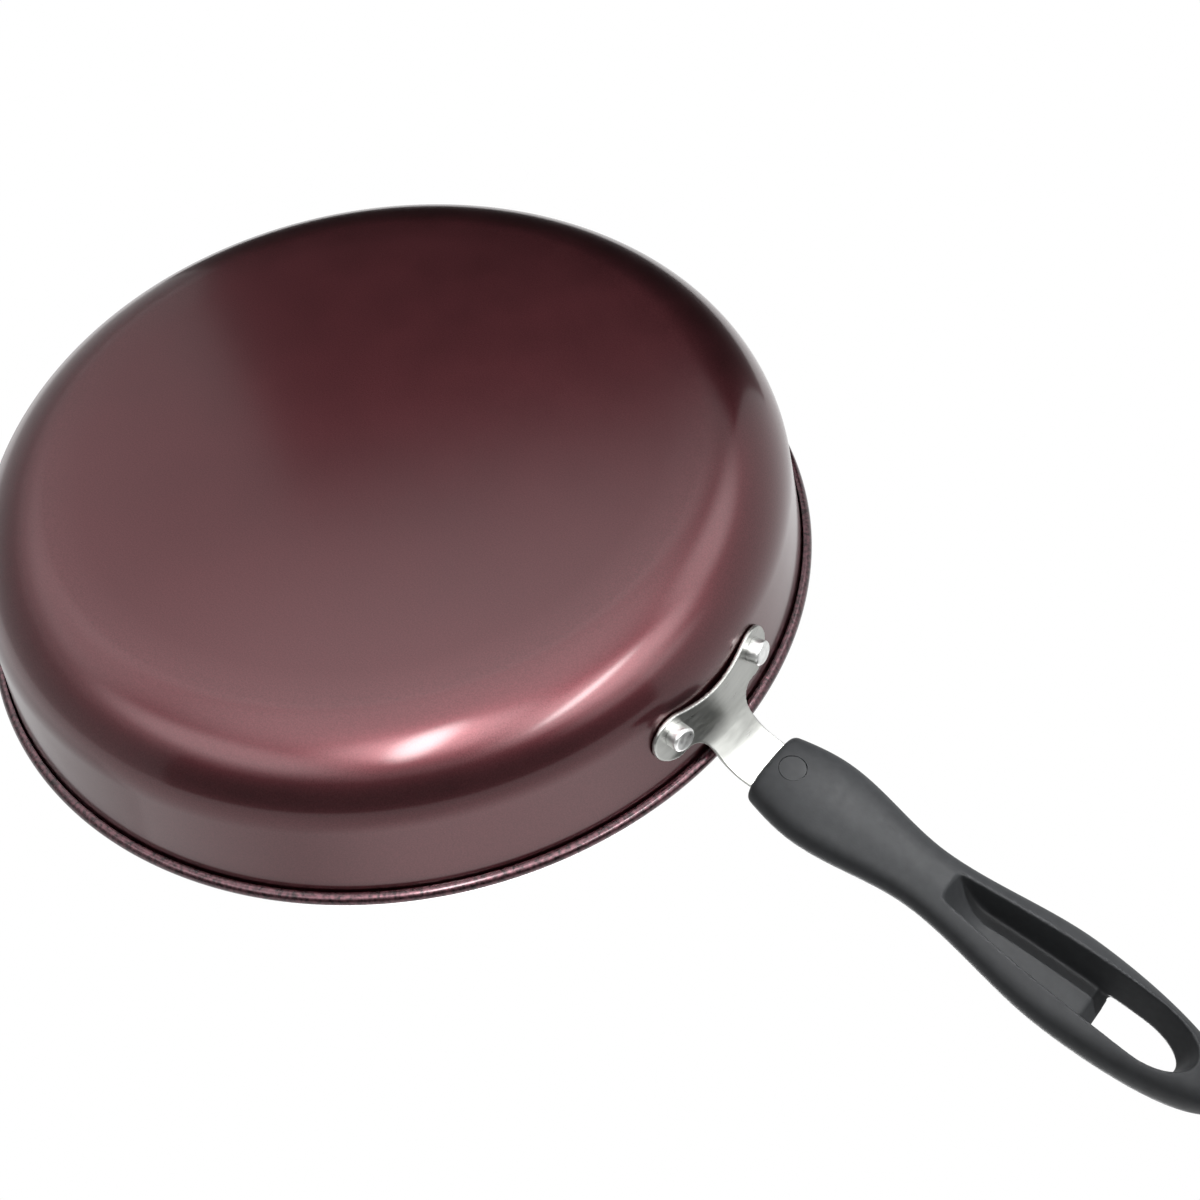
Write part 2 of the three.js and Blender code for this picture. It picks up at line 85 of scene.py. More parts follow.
# Grip, measured along its axis from its mouth
GRIP_LENGTH = 140.6
GRIP_RISE = 7.3
GRIP_DROP = 0.3
MOUTH_WIDTH = 21.4
MOUTH_THICKNESS = 13
MOUTH_EDGE = 1.5
SHOULDER_AT = 16.8
SHOULDER_WIDTH = 27
SHOULDER_THICKNESS = 14.4
WAIST_AT = 50
WAIST_WIDTH = 18.2
WAIST_THICKNESS = 11.2
PALM_AT = 93
PALM_WIDTH = 27.8
TAIL_AT = 122
TAIL_THICKNESS = 16
SECTION_POWER = 2.4

# Pocket under the grip and its hanging hole
POCKET_LENGTH = 73.8
POCKET_END_WALL = 12.8
POCKET_SIDE_WALL = 5.3
POCKET_FRONT_WIDTH = 8.4
POCKET_NOSE = 14.3
POCKET_RAMP = 15
POCKET_DRAFT = 2.4
POCKET_WEB = 3.6
HOLE_LENGTH = 21.8
HOLE_FRONT_WIDTH = 11.5
HOLE_LEAD_IN = 4.2
HOLE_FLARE = 2

# Screw, washer and plug in the counterbore of the grip
SCREW_AT = 6.4
SCREW_SHANK = 4
SCREW_REACH = 3.5
SCREW_HEAD_HEIGHT = 1.6
COUNTERBORE = 7.6
WASHER_HEIGHT = 0.8
PLUG_HEIGHT = 1.3
PLUG_EDGE = 0.25
PLUG_GAP = 0.06

# Fineness of the surfaces
PAN_SEGMENTS = 288
ROUND_SEGMENTS = 72
GRIP_SEGMENTS = 120
SHEET_STEPS = 120
ARC_STEPS = 32
MOUTH_STEPS = 6
PLUG_STEPS = 8
BRACKET_VOXEL = 0.22
BRACKET_SMOOTHING = 8
GRIP_VOXEL = 0.4
GRIP_SMOOTHING = 16
SMOOTHING_FACTOR = 0.5
SHARP_ANGLE = math.radians(40)

# Reach of the cutting tools past a piece, and the corners of a plain rectangle
OVERSHOOT = 80
SQUARE = ((-1, -1), (1, -1), (1, 1), (-1, 1))

# Colours as linear light
PAINT_DEEP = (0.0635, 0.0145, 0.0180)
PAINT_PEARL = (0.0890, 0.0222, 0.0272)
# The bead's colours are the pan's paint darkened as painted shade on the rolled rim, with a coarser,
# stronger speckle
BEAD_SHADED_DEEP = (0.015, 0.005, 0.007)
BEAD_SHADED_PEARL = (0.105, 0.042, 0.052)
COAT_DARK = (0.018, 0.018, 0.019)
COAT_FLECK = (0.060, 0.060, 0.062)
STEEL_DULL = (0.370, 0.375, 0.357)
STEEL_BRIGHT = (0.431, 0.436, 0.416)
ALUMINIUM_DULL = (0.700, 0.705, 0.695)
ALUMINIUM_BRIGHT = (0.860, 0.865, 0.855)
ZINC_DULL = (0.420, 0.430, 0.420)
ZINC_BRIGHT = (0.600, 0.610, 0.600)
PHENOLIC_DARK = (0.030, 0.0314, 0.0334)
PHENOLIC_GREY = (0.037, 0.0386, 0.0410)
FLOOR_COLOUR = (0.86, 0.86, 0.86)
CARD_COLOUR = (0.012, 0.011, 0.011)

# Finishes: grain as noise cells per metre, relief in millimetres
PAINT_FLECK = 2600
BEAD_FLECK = 900
PAINT_DRIFT = 14
PAINT_DRIFT_LOW = 0.88
PAINT_HAZE = 60
PAINT_ROUGHNESS = (0.32, 0.36)
PAINT_RIPPLE = 420
PAINT_RELIEF = 0.003
LACQUER = 0.75
LACQUER_ROUGHNESS = 0.12
LACQUER_IOR = 1.5
COAT_GRAIN = 1500
COAT_FLECK_RANGE = (0.58, 0.72)
COAT_HAZE = 700
COAT_ROUGHNESS = (0.42, 0.49)
COAT_RIPPLE = 900
COAT_RELIEF = 0.01
METAL_GRAIN = 700
METAL_DRIFT = 90
METAL_DRIFT_LOW = 0.9
METAL_SMOOTHER = 0.05
METAL_ROUGHER = 0.06
STEEL_ROUGHNESS = 0.32
STEEL_RELIEF = 0.002
STEEL_BRUSHING = (1, 0.2, 1)
ALUMINIUM_ROUGHNESS = 0.32
ZINC_ROUGHNESS = 0.36
FASTENER_RELIEF = 0.004
PHENOLIC_GRAIN = 420
PHENOLIC_GRAIN_RANGE = (0.3, 0.7)
PHENOLIC_HAZE = 500
PHENOLIC_ROUGHNESS = (0.46, 0.54)
PHENOLIC_RIPPLE = 1800
PHENOLIC_RELIEF = 0.012
PHENOLIC_SPECULAR = 0.12
FLOOR_ROUGHNESS = 0.9

# Camera at the photograph's angle, looking up at the base: place in metres, lens in millimetres
CAMERA_AT = (0.317894, 0.239788, -0.387078)
CAMERA_RIGHT = (0.77744, -0.62240, 0.09061)
CAMERA_DOWN = (0.43551, 0.63666, 0.63639)
CAMERA_LENS = 60
CAMERA_SENSOR = 36

# Studio, in metres, degrees and watts; the spot's aim is in millimetres along the handle
AMBIENT = 0.5
CARD_DISTANCE = 1.6
CARD_FADE = 0.2
FLOOR_PLAIN = 0.45
FLOOR_REACH = 1.4
FLOOR_GAP = 0.0005
LAMP_DISTANCE = 1.5
LAMP_CORE = 0.3
SPOT_AT = 195
SPOT_AZIMUTH = 276
SPOT_TILT = 31
SPOT_DISTANCE = 0.6
SPOT_CONE = 15.6
SPOT_BLEND = 0.65
SPOT_SIZE = 0.01
SPOT_POWER = 18


# Meshes

def add_object(name, data):
    made = bpy.data.objects.new(name, data)
    bpy.context.scene.collection.objects.link(made)
    return made


def new_piece(name, points, faces, matrix=Matrix.Identity(4)):
    """An object with the given points, in millimetres, and all faces turned outward."""
    mesh = bpy.data.meshes.new(name)
    mesh.from_pydata([matrix @ Vector(point) * MM for point in points], [], faces)
    shape = bmesh.new()
    shape.from_mesh(mesh)
    bmesh.ops.recalc_face_normals(shape, faces=shape.faces)
    shape.to_mesh(mesh)
    shape.free()
    return add_object(name, mesh)


def apply_modifiers(piece):
    graph = bpy.context.evaluated_depsgraph_get()
    coarse = piece.data
    piece.data = bpy.data.meshes.new_from_object(piece.evaluated_get(graph))
    piece.modifiers.clear()
    bpy.data.meshes.remove(coarse)


def combine(piece, tool, operation):
    """Cuts a piece with a tool, or keeps what they share, and removes the tool."""
    modifier = piece.modifiers.new(operation, "BOOLEAN")
    modifier.operation = operation
    modifier.solver = "EXACT"
    modifier.object = tool
    apply_modifiers(piece)
    used = tool.data
    bpy.data.objects.remove(tool)
    bpy.data.meshes.remove(used)


def soften(piece, voxel, rounds):
    """Gives a piece an even fine mesh and eases its edges."""
    remesh = piece.modifiers.new("even", "REMESH")
    remesh.mode = "VOXEL"
    remesh.voxel_size = voxel * MM
    smooth = piece.modifiers.new("ease", "SMOOTH")
    smooth.factor = SMOOTHING_FACTOR
    smooth.iterations = rounds
    apply_modifiers(piece)


def shade(piece):
    piece.data.shade_smooth()
    piece.data.set_sharp_from_angle(angle=SHARP_ANGLE)


def stand_for(piece, node):
    """Lets a piece that has its materials stand for a solid."""
    shade(piece)
    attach(piece, "root")
    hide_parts(node)


def dress(piece, material, node):
    """Gives a piece one material all over and lets it stand for a solid."""
    piece.data.materials.clear()
    piece.data.materials.append(material)
    stand_for(piece, node)


def arc(centre, radius, start, end, steps=ARC_STEPS):
    angles = [start + (end - start) * i / steps for i in range(steps + 1)]
    return [(centre[0] + radius * math.cos(a), centre[1] + radius * math.sin(a)) for a in angles]


def turned(name, profile, segments, matrix=Matrix.Identity(4)):
    """A solid of revolution about +Z from a profile of radius and height."""
    points = []
    rings = []
    for radius, height in profile:
        count = segments if radius > 0 else 1
        rings.append([len(points) + i for i in range(count)])
        for i in range(count):
            angle = 2 * math.pi * i / count
            points.append((radius * math.cos(angle), radius * math.sin(angle), height))
    faces = []
    for lower, upper in zip(rings, rings[1:]):
        for i in range(segments):
            corners = []
            for ring, step in ((lower, i), (lower, i + 1), (upper, i + 1), (upper, i)):
                corners.append(ring[step % len(ring)])
            faces.append(list(dict.fromkeys(corners)))
    return new_piece(name, points, faces, matrix)


def bar(name, diameter, bottom, top, matrix=Matrix.Identity(4)):
    radius = diameter / 2
    profile = [(0, bottom), (radius, bottom), (radius, top), (0, top)]
    return turned(name, profile, ROUND_SEGMENTS, matrix)


def skin(rows, count):
    """Faces between neighbouring closed rings of points."""
    faces = []
    for row in range(0, rows * count, count):
        for j in range(count):
            k = (j + 1) % count
            faces.append((row + j, row + k, row + count + k, row + count + j))
    return faces


def loft(name, rings, matrix=Matrix.Identity(4)):
    """A closed skin over rings of points, with a fan of triangles at each end."""
    count = len(rings[0])
    points = [point for ring in rings for point in ring]
    first = len(points)
    last = first + 1
    for ring in (rings[0], rings[-1]):
        points.append(sum((Vector(point) for point in ring), Vector()) / count)
    end = (len(rings) - 1) * count
    faces = skin(len(rings) - 1, count)
    for j in range(count):
        k = (j + 1) % count
        faces.append((first, k, j))
        faces.append((last, end + j, end + k))
    return new_piece(name, points, faces, matrix)


def prism(name, outline, low, high, matrix):
    """A flat outline pushed from one height to another."""
    count = len(outline)
    points = [(x, y, height) for height in (low, high) for x, y in outline]
    faces = skin(1, count)
    faces.append(tuple(range(count)))
    faces.append(tuple(range(count, 2 * count)))
    return new_piece(name, points, faces, matrix)


# Pan body

bead_centre = (RIM_RADIUS - BEAD_RADIUS, PAN_HEIGHT - BEAD_RADIUS)
curl_radius = BEAD_RADIUS - PAN_SHEET
ease_rise = BASE_EASE_RADIUS * (1 - math.cos(BASE_EASE_ANGLE))
heel_height = ease_rise + HEEL_RADIUS * math.cos(BASE_EASE_ANGLE)
wall_lean = (bead_centre[1] - heel_height) * math.sin(WALL_FLARE)
heel_inset = (curl_radius + HEEL_RADIUS + wall_lean) / math.cos(WALL_FLARE)
heel_centre = (bead_centre[0] - heel_inset, heel_height)
ease_inset = (BASE_EASE_RADIUS - HEEL_RADIUS) * math.sin(BASE_EASE_ANGLE)
ease_centre = (heel_centre[0] - ease_inset, BASE_EASE_RADIUS)


def wall_radius(height):
    """Radius of the outside of the wall at a height above the heel."""
    above = height - bead_centre[1]
    return bead_centre[0] + (above * math.sin(WALL_FLARE) - curl_radius) / math.cos(WALL_FLARE)


rivet_height = PAN_HEIGHT - RIVET_DROP
rivet_wall_radius = wall_radius(rivet_height)
rivet_angle = math.asin(RIVET_SPACING / 2 / rivet_wall_radius)


def rivet_frame(side):
    """Frame on the outside of the wall at a rivet, with +Z along the wall's normal."""
    turn = side * rivet_angle
    outward = Vector((math.cos(turn), math.sin(turn), 0))
    normal = outward * math.cos(WALL_FLARE) - Vector((0, 0, math.sin(WALL_FLARE)))
    place = outward * rivet_wall_radius + Vector((0, 0, rivet_height))
    return Matrix.Translation(place) @ normal.to_track_quat("Z", "Y").to_matrix().to_4x4()


def cut_rivet_holes(piece):
    width = RIVET_SHANK + 2 * CLEARANCE
    for side in (1, -1):
        hole = bar("rivet_hole", width, -RIVET_HEAD, RIVET_HEAD, rivet_frame(side))
        combine(piece, hole, "DIFFERENCE")


def make_pan(outside_paint, shaded_bead_paint, inside_coat):
    down = -math.pi / 2
    wall_side = math.pi - WALL_FLARE
    curl_end = -math.acos((BEAD_SLIT - curl_radius) / BEAD_RADIUS) - WALL_FLARE
    heel_start = down + BASE_EASE_ANGLE
    outside = [(0, 0)] + arc(ease_centre, BASE_EASE_RADIUS, down, heel_start)
    outside += arc(heel_centre, HEEL_RADIUS, heel_start, -WALL_FLARE)[1:]
    bead = arc(bead_centre, curl_radius, wall_side, curl_end)
    bead += arc(bead_centre, BEAD_RADIUS, curl_end, math.pi / 2)
    inside = arc(bead_centre, BEAD_RADIUS, math.pi / 2, wall_side)[1:]
    inside += arc(heel_centre, HEEL_RADIUS - PAN_SHEET, -WALL_FLARE, heel_start)
    inside += arc(ease_centre, BASE_EASE_RADIUS - PAN_SHEET, heel_start, down)[1:]
    inside.append((0, PAN_SHEET))
    pan = turned("pan_shell", outside + bead + inside, PAN_SEGMENTS)
    # The bead's own material is a darker copy of the paint, which is painted shade on the rim
    for material in (outside_paint, shaded_bead_paint, inside_coat):
        pan.data.materials.append(material)
    borders = (len(outside), len(outside) + len(bead) - 1)
    for face in pan.data.polygons:
        row = face.index // PAN_SEGMENTS
        face.material_index = sum(row >= border for border in borders)
    cut_rivet_holes(pan)
    stand_for(pan, "pan_body")


def make_rivet(side, node, material):
    shank = RIVET_SHANK / 2
    button = RIVET_BUTTON / 2
    head = RIVET_HEAD / 2
    inner_radius = rivet_wall_radius - PAN_SHEET
    head_sag = inner_radius - math.sqrt(inner_radius ** 2 - head ** 2)
    head_seat = -PAN_SHEET - CLEARANCE - head_sag
    button_seat = BRACKET_SHEET + CLEARANCE + RIVET_SEAT_GAP
    button_top = button_seat + RIVET_BUTTON_HEIGHT
    edge_centre = (button - RIVET_BUTTON_EDGE, button_top - RIVET_BUTTON_EDGE)
    dome_radius = (head ** 2 + RIVET_HEAD_HEIGHT ** 2) / (2 * RIVET_HEAD_HEIGHT)
    dome_centre = (0, head_seat - RIVET_HEAD_HEIGHT + dome_radius)
    down = -math.pi / 2
    dome = arc(dome_centre, dome_radius, down, down + math.asin(head / dome_radius))
    profile = [(0, dome[0][1])] + dome[1:]
    profile += [(shank, head_seat), (shank, button_seat), (button, button_seat)]
    profile += arc(edge_centre, RIVET_BUTTON_EDGE, 0, math.pi / 2)
    profile.append((0, button_top))
    rivet = turned(f"{node}_button", profile, ROUND_SEGMENTS, rivet_frame(side))
    dress(rivet, material, node)


# Bracket

def bracket_line():
    """Middle line of the bent sheet: along the wall, out past the rim, into the grip."""
    offset = CLEARANCE + BRACKET_SHEET / 2
    outward = offset + ROOT_BEND - curl_radius
    reach = ROOT_BEND + BRACKET_SHEET / 2 + RIM_GAP + BEAD_RADIUS
    rise = math.sqrt(reach ** 2 - outward ** 2)
    wall_heading = math.pi / 2 - WALL_FLARE
    bend_height = bead_centre[1] - rise * math.sin(wall_heading)
    plate_run = bend_height - (rivet_height - 2 * EAR_RADIUS)
    x = wall_radius(bend_height) + offset * math.sin(wall_heading) - plate_run * math.cos(wall_heading)
    z = bend_height - offset * math.cos(wall_heading) - plate_run * math.sin(wall_heading)
    line = [(x, z, wall_heading)]

    def run(length):
        x, z, heading = line[-1]
        line.append((x + length * math.cos(heading), z + length * math.sin(heading), heading))

    def bend(radius, end):
        step = (line[-1][2] - end) / ARC_STEPS
        for _ in range(ARC_STEPS):
            x, z, heading = line[-1]
            chord = 2 * radius * math.sin(step / 2)
            middle = heading - step / 2
            line.append((x + chord * math.cos(middle), z + chord * math.sin(middle), heading - step))

    run(plate_run)
    bend(ROOT_BEND, NECK_TILT)
    run(NECK_RUN)
    bend(MOUTH_BEND, TONGUE_TILT)
    run(MOUTH_RUN)
    mouth = line[-1]
    run(TONGUE_LENGTH)
    return line, mouth


sheet_line, grip_mouth = bracket_line()
mouth_x, mouth_z, mouth_heading = grip_mouth
handle_frame = Matrix.Translation((mouth_x, 0, mouth_z)) @ Matrix.Rotation(-mouth_heading, 4, "Y")
screw_frame = handle_frame @ Matrix.Translation((SCREW_AT, 0, 0))


def smoothstep(x, low, high):
    t = min(max((x - low) / (high - low), 0), 1)
    return t * t * (3 - 2 * t)


def bent_sheet():
    """The bracket's sheet bent along its line and curved round the wall, before its outline is cut."""
    half = BRACKET_SHEET / 2
    below = [(x + half * math.sin(h), z - half * math.cos(h)) for x, z, h in sheet_line]
    above = [(x - half * math.sin(h), z + half * math.cos(h)) for x, z, h in sheet_line]
    section = below + above[::-1]
    width = RIVET_SPACING + 4 * EAR_RADIUS
    rings = []
    for i in range(SHEET_STEPS + 1):
        y = width * (i / SHEET_STEPS - 0.5)
        wall_curve = rivet_wall_radius - math.sqrt(rivet_wall_radius ** 2 - y ** 2)
        in_bridge = min(abs(y) / (RIVET_SPACING / 2), 1)
        lift = BRIDGE_LIFT * (1 + math.cos(math.pi * in_bridge)) / 2 - wall_curve
        ring = []
        for x, z in section:
            ring.append((x + lift * (1 - smoothstep(x, rivet_wall_radius, mouth_x)), y, z))
        rings.append(ring)
    count = len(section)
    points = [point for ring in rings for point in ring]
    faces = skin(SHEET_STEPS, count)
    faces.append(tuple(range(count)))
    faces.append(tuple(range(len(points) - count, len(points))))
    return new_piece("bracket_plate", points, faces)


def ear_outline():
    """Outline of ears and neck seen along X, as points of Y and Z."""
    y = RIVET_SPACING / 2
    z = rivet_height + EAR_RAISE
    arch_drop = EAR_RADIUS - EAR_ARCH
    arch_radius = (y ** 2 + arch_drop ** 2 - EAR_RADIUS ** 2) / (2 * EAR_ARCH)
    arch_z = z - arch_drop - arch_radius
    arch_angle = math.atan2(z - arch_z, y)
    root = NECK_ROOT_WIDTH / 2
    fillet_y = root + EAR_FILLET
    fillet_z = z + math.sqrt((EAR_RADIUS + EAR_FILLET) ** 2 - (fillet_y - y) ** 2)
    fillet_angle = math.atan2(fillet_z - z, fillet_y - y)
    flare = (NECK_MOUTH_WIDTH / 2 - root) / (mouth_z - fillet_z)
    top = mouth_z + OVERSHOOT
    right = arc((0, arch_z), arch_radius, math.pi / 2, arch_angle)
    right += arc((y, z), EAR_RADIUS, arch_angle - math.pi, fillet_angle)[1:]
    right += arc((fillet_y, fillet_z), EAR_FILLET, fillet_angle - math.pi, -math.pi)[1:]
    right.append((root + flare * (top - fillet_z), top))
    left = [(-across, height) for across, height in right[:0:-1]]
    return right + left


def tongue_outline():
    """The tongue's outline in the handle's frame: wide up to the mouth, then narrow with a round end."""
    half = TONGUE_WIDTH / 2
    back = [(-OVERSHOOT, OVERSHOOT), (-OVERSHOOT, -OVERSHOOT)]
    right = [(-CLEARANCE, -OVERSHOOT), (-CLEARANCE, -half)]
    end = arc((TONGUE_LENGTH - half, 0), half, -math.pi / 2, math.pi / 2)
    left = [(-CLEARANCE, half), (-CLEARANCE, OVERSHOOT)]
    return back + right + end + left


def make_bracket(material):
    plate = bent_sheet()
    along_x = Matrix(((0, 0, 1, 0), (1, 0, 0, 0), (0, 1, 0, 0), (0, 0, 0, 1)))
    combine(plate, prism("ears", ear_outline(), 0, mouth_x + OVERSHOOT, along_x), "INTERSECT")
    combine(plate, prism("tongue", tongue_outline(), -OVERSHOOT, OVERSHOOT, handle_frame), "INTERSECT")
    cut_rivet_holes(plate)
    hole = bar("screw_hole", SCREW_SHANK + 2 * CLEARANCE, -BRACKET_SHEET, BRACKET_SHEET, screw_frame)
    combine(plate, hole, "DIFFERENCE")
    soften(plate, BRACKET_VOXEL, BRACKET_SMOOTHING)
    dress(plate, material, "handle_bracket")


# Grip, in the handle's frame

def ease(x, from_x, start, to_x, end):
    return start + (end - start) * smoothstep(x, from_x, to_x)


def ellipse_end(x, start):
    return math.sqrt(1 - (max(x - start, 0) / (GRIP_LENGTH - start)) ** 2)


def swell(x, mouth, shoulder):
    return mouth + (shoulder - mouth) * math.sin(math.pi / 2 * x / SHOULDER_AT)


def mouth_inset(x):
    short = max(MOUTH_EDGE - x, 0)
    return MOUTH_EDGE - math.sqrt(MOUTH_EDGE ** 2 - short ** 2)


def grip_half_width(x):
    width = PALM_WIDTH * ellipse_end(x, PALM_AT)
    if x < SHOULDER_AT:
        width = swell(x, MOUTH_WIDTH, SHOULDER_WIDTH)
    elif x < WAIST_AT:
        width = ease(x, SHOULDER_AT, SHOULDER_WIDTH, WAIST_AT, WAIST_WIDTH)
    elif x < PALM_AT:
        width = ease(x, WAIST_AT, WAIST_WIDTH, PALM_AT, PALM_WIDTH)
    return width / 2 - mouth_inset(x)


def grip_half_thickness(x):
    thickness = TAIL_THICKNESS * ellipse_end(x, TAIL_AT)
    if x < SHOULDER_AT:
        thickness = swell(x, MOUTH_THICKNESS, SHOULDER_THICKNESS)
    elif x < WAIST_AT:
        thickness = ease(x, SHOULDER_AT, SHOULDER_THICKNESS, WAIST_AT, WAIST_THICKNESS)
    elif x < TAIL_AT:
        thickness = ease(x, WAIST_AT, WAIST_THICKNESS, TAIL_AT, TAIL_THICKNESS)
    return thickness / 2 - mouth_inset(x)


def grip_axis(x):
    return GRIP_RISE * (x / GRIP_LENGTH) ** 2 - GRIP_DROP


def grip_slope(x):
    return math.atan(2 * GRIP_RISE * x / GRIP_LENGTH ** 2)


def squared(wave):
    """A sine or cosine reshaped so that the section lies between an ellipse and a rectangle."""
    return math.copysign(abs(wave) ** (2 / SECTION_POWER), wave)


def grip_ring(x):
    slope = grip_slope(x)
    ring = []
    for i in range(GRIP_SEGMENTS):
        angle = 2 * math.pi * i / GRIP_SEGMENTS
        up = grip_half_thickness(x) * squared(math.sin(angle))
        across = grip_half_width(x) * squared(math.cos(angle))
        ring.append((x - up * math.sin(slope), across, grip_axis(x) + up * math.cos(slope)))
    return ring


def grip_blank():
    stations = [x for x, _ in arc((MOUTH_EDGE, 0), MOUTH_EDGE, math.pi, math.pi / 2, MOUTH_STEPS)]
    body_steps = 3 * ARC_STEPS
    for i in range(1, body_steps):
        stations.append(MOUTH_EDGE + (PALM_AT - MOUTH_EDGE) * i / body_steps)
    tail_steps = 2 * ARC_STEPS
    for i in range(tail_steps):
        stations.append(PALM_AT + (GRIP_LENGTH - PALM_AT) * math.sin(math.pi / 2 * i / tail_steps))
    return loft("grip_moulding", [grip_ring(x) for x in stations], handle_frame)


def drop(front, front_width, rear, rear_width, nose):
    """A drop-shaped outline along X: a narrow front edge, swelling sides and an elliptical rear."""
    side = rear_width / 2
    nose_x = rear - nose
    middle = (front + nose_x) / 2
    flank = []
    for i in range(ARC_STEPS):
        t = i / ARC_STEPS
        x = (1 - t) ** 2 * front + 2 * t * (1 - t) * middle + t ** 2 * nose_x
        y = (1 - t) ** 2 * front_width / 2 + 2 * t * (1 - t) * side + t ** 2 * side
        flank.append((x, y))
    round_end = [(nose_x + nose * x, side * y) for x, y in arc((0, 0), 1, math.pi / 2, -math.pi / 2)]
    return flank + round_end + [(x, -y) for x, y in reversed(flank)]


def tapered_tool(name, levels, matrix):
    rings = [[(x, y, z) for x, y in outline] for z, outline in levels]
    return loft(name, rings, matrix)


pocket_rear = POCKET_LENGTH / 2
pocket_width = PALM_WIDTH - 2 * POCKET_SIDE_WALL


def pocket_levels(underside, floor):
    """Outlines from the pocket's mouth to its floor; the front slopes in and eases into the floor."""
    levels = []
    for i in range(ARC_STEPS + 1):
        along = i / ARC_STEPS
        depth = along * (2 - along)
        draft = POCKET_DRAFT * depth
        front = POCKET_RAMP * along - pocket_rear
        width = pocket_width - 2 * draft
        outline = drop(front, POCKET_FRONT_WIDTH, pocket_rear - draft, width, POCKET_NOSE - draft)
        levels.append((underside + (floor - underside) * depth, outline))
    return levels


def cut_pocket(grip):
    """Cuts the pocket and the hanging hole square to the grip's axis at the middle of the pocket."""
    middle = GRIP_LENGTH - POCKET_END_WALL - pocket_rear
    place = handle_frame @ Matrix.Translation((middle, 0, grip_axis(middle)))
    place = place @ Matrix.Rotation(-grip_slope(middle), 4, "Y")
    underside = -grip_half_thickness(middle)
    floor = grip_half_thickness(middle) - POCKET_WEB
    levels = pocket_levels(underside, floor)
    mouth = (underside - TAIL_THICKNESS, levels[0][1])
    combine(grip, tapered_tool("pocket", [mouth] + levels, place), "DIFFERENCE")
    floor_rear = pocket_rear - POCKET_DRAFT
    floor_width = pocket_width - 2 * POCKET_DRAFT
    floor_nose = POCKET_NOSE - POCKET_DRAFT
    hole_front = floor_rear - HOLE_LENGTH
    hole_bottom = drop(hole_front - HOLE_LEAD_IN, HOLE_FRONT_WIDTH, floor_rear, floor_width, floor_nose)
    hole_top = drop(
        hole_front,
        HOLE_FRONT_WIDTH + 2 * HOLE_FLARE,
        floor_rear + HOLE_FLARE,
        floor_width + 2 * HOLE_FLARE,
        floor_nose + HOLE_FLARE,
    )
    levels = [
        (floor - CLEARANCE, hole_bottom),
        (floor + POCKET_WEB, hole_top),
        (floor + TAIL_THICKNESS, hole_top),
    ]
    combine(grip, tapered_tool("hanging_hole", levels, place), "DIFFERENCE")


plug_bottom = grip_axis(SCREW_AT) - grip_half_thickness(SCREW_AT) + PLUG_EDGE
plug_top = plug_bottom + PLUG_HEIGHT
washer_bottom = plug_top + SCREW_HEAD_HEIGHT + 2 * CLEARANCE
washer_top = washer_bottom + WASHER_HEIGHT
screw_top = BRACKET_SHEET / 2 + SCREW_REACH


def make_grip(material):
    grip = grip_blank()
    cut_pocket(grip)
    slot_end = TONGUE_LENGTH + CLEARANCE
    slot_half = TONGUE_WIDTH / 2 + CLEARANCE
    slot_rise = BRACKET_SHEET / 2 + CLEARANCE
    slot_plan = [(slot_end * x, slot_half * y) for x, y in SQUARE]
    combine(grip, prism("tongue_slot", slot_plan, -slot_rise, slot_rise, handle_frame), "DIFFERENCE")
    soften(grip, GRIP_VOXEL, GRIP_SMOOTHING)
    bore = COUNTERBORE / 2
    shank = SCREW_SHANK / 2 + CLEARANCE
    mouth = plug_bottom - PLUG_HEIGHT
    step = washer_top + CLEARANCE
    end = screw_top + CLEARANCE
    profile = [(0, mouth), (bore, mouth), (bore, step), (shank, step), (shank, end), (0, end)]
    combine(grip, turned("screw_bore", profile, ROUND_SEGMENTS, screw_frame), "DIFFERENCE")
    dress(grip, material, "handle_grip")


def make_plug(material):
    radius = COUNTERBORE / 2 - PLUG_GAP
    edge = (radius - PLUG_EDGE, plug_bottom + PLUG_EDGE)
    profile = [(0, plug_bottom)] + arc(edge, PLUG_EDGE, -math.pi / 2, 0, PLUG_STEPS)
    profile += [(radius, plug_top), (0, plug_top)]
    plug = turned("plug_disc", profile, ROUND_SEGMENTS, screw_frame)
    dress(plug, material, "screw_plug")


# Materials

def new_material(name):
    material = bpy.data.materials.new(name)
    material.use_nodes = True
    return material, material.node_tree, material.node_tree.nodes["Principled BSDF"]


def noise(tree, scale, detail=2, stretch=(1, 1, 1)):
    """Noise over the object's own metres; a stretch below 1 draws it out along that axis."""
    place = tree.nodes.new("ShaderNodeTexCoord")
    mapping = tree.nodes.new("ShaderNodeMapping")
    mapping.inputs["Scale"].default_value = stretch
    texture = tree.nodes.new("ShaderNodeTexNoise")
    texture.inputs["Scale"].default_value = scale
    texture.inputs["Detail"].default_value = detail
    tree.links.new(place.outputs["Object"], mapping.inputs["Vector"])
    tree.links.new(mapping.outputs["Vector"], texture.inputs["Vector"])
    return texture.outputs["Fac"]


def ramp(tree, source, low, high, start=0.35, end=0.65):
    """Maps a texture's middle range onto two colours."""
    node = tree.nodes.new("ShaderNodeValToRGB")
    for element, position, colour in zip(node.color_ramp.elements, (start, end), (low, high)):
        element.position = position
        element.color = (*colour, 1)
    tree.links.new(source, node.inputs["Fac"])
    return node.outputs["Color"]


def level(tree, source, low, high, start=0.3, end=0.7):
    """Maps a texture's middle range onto a range of values."""
    node = tree.nodes.new("ShaderNodeMapRange")
    node.inputs["From Min"].default_value = start
    node.inputs["From Max"].default_value = end
    node.inputs["To Min"].default_value = low
    node.inputs["To Max"].default_value = high
    tree.links.new(source, node.inputs["Value"])
    return node.outputs["Result"]


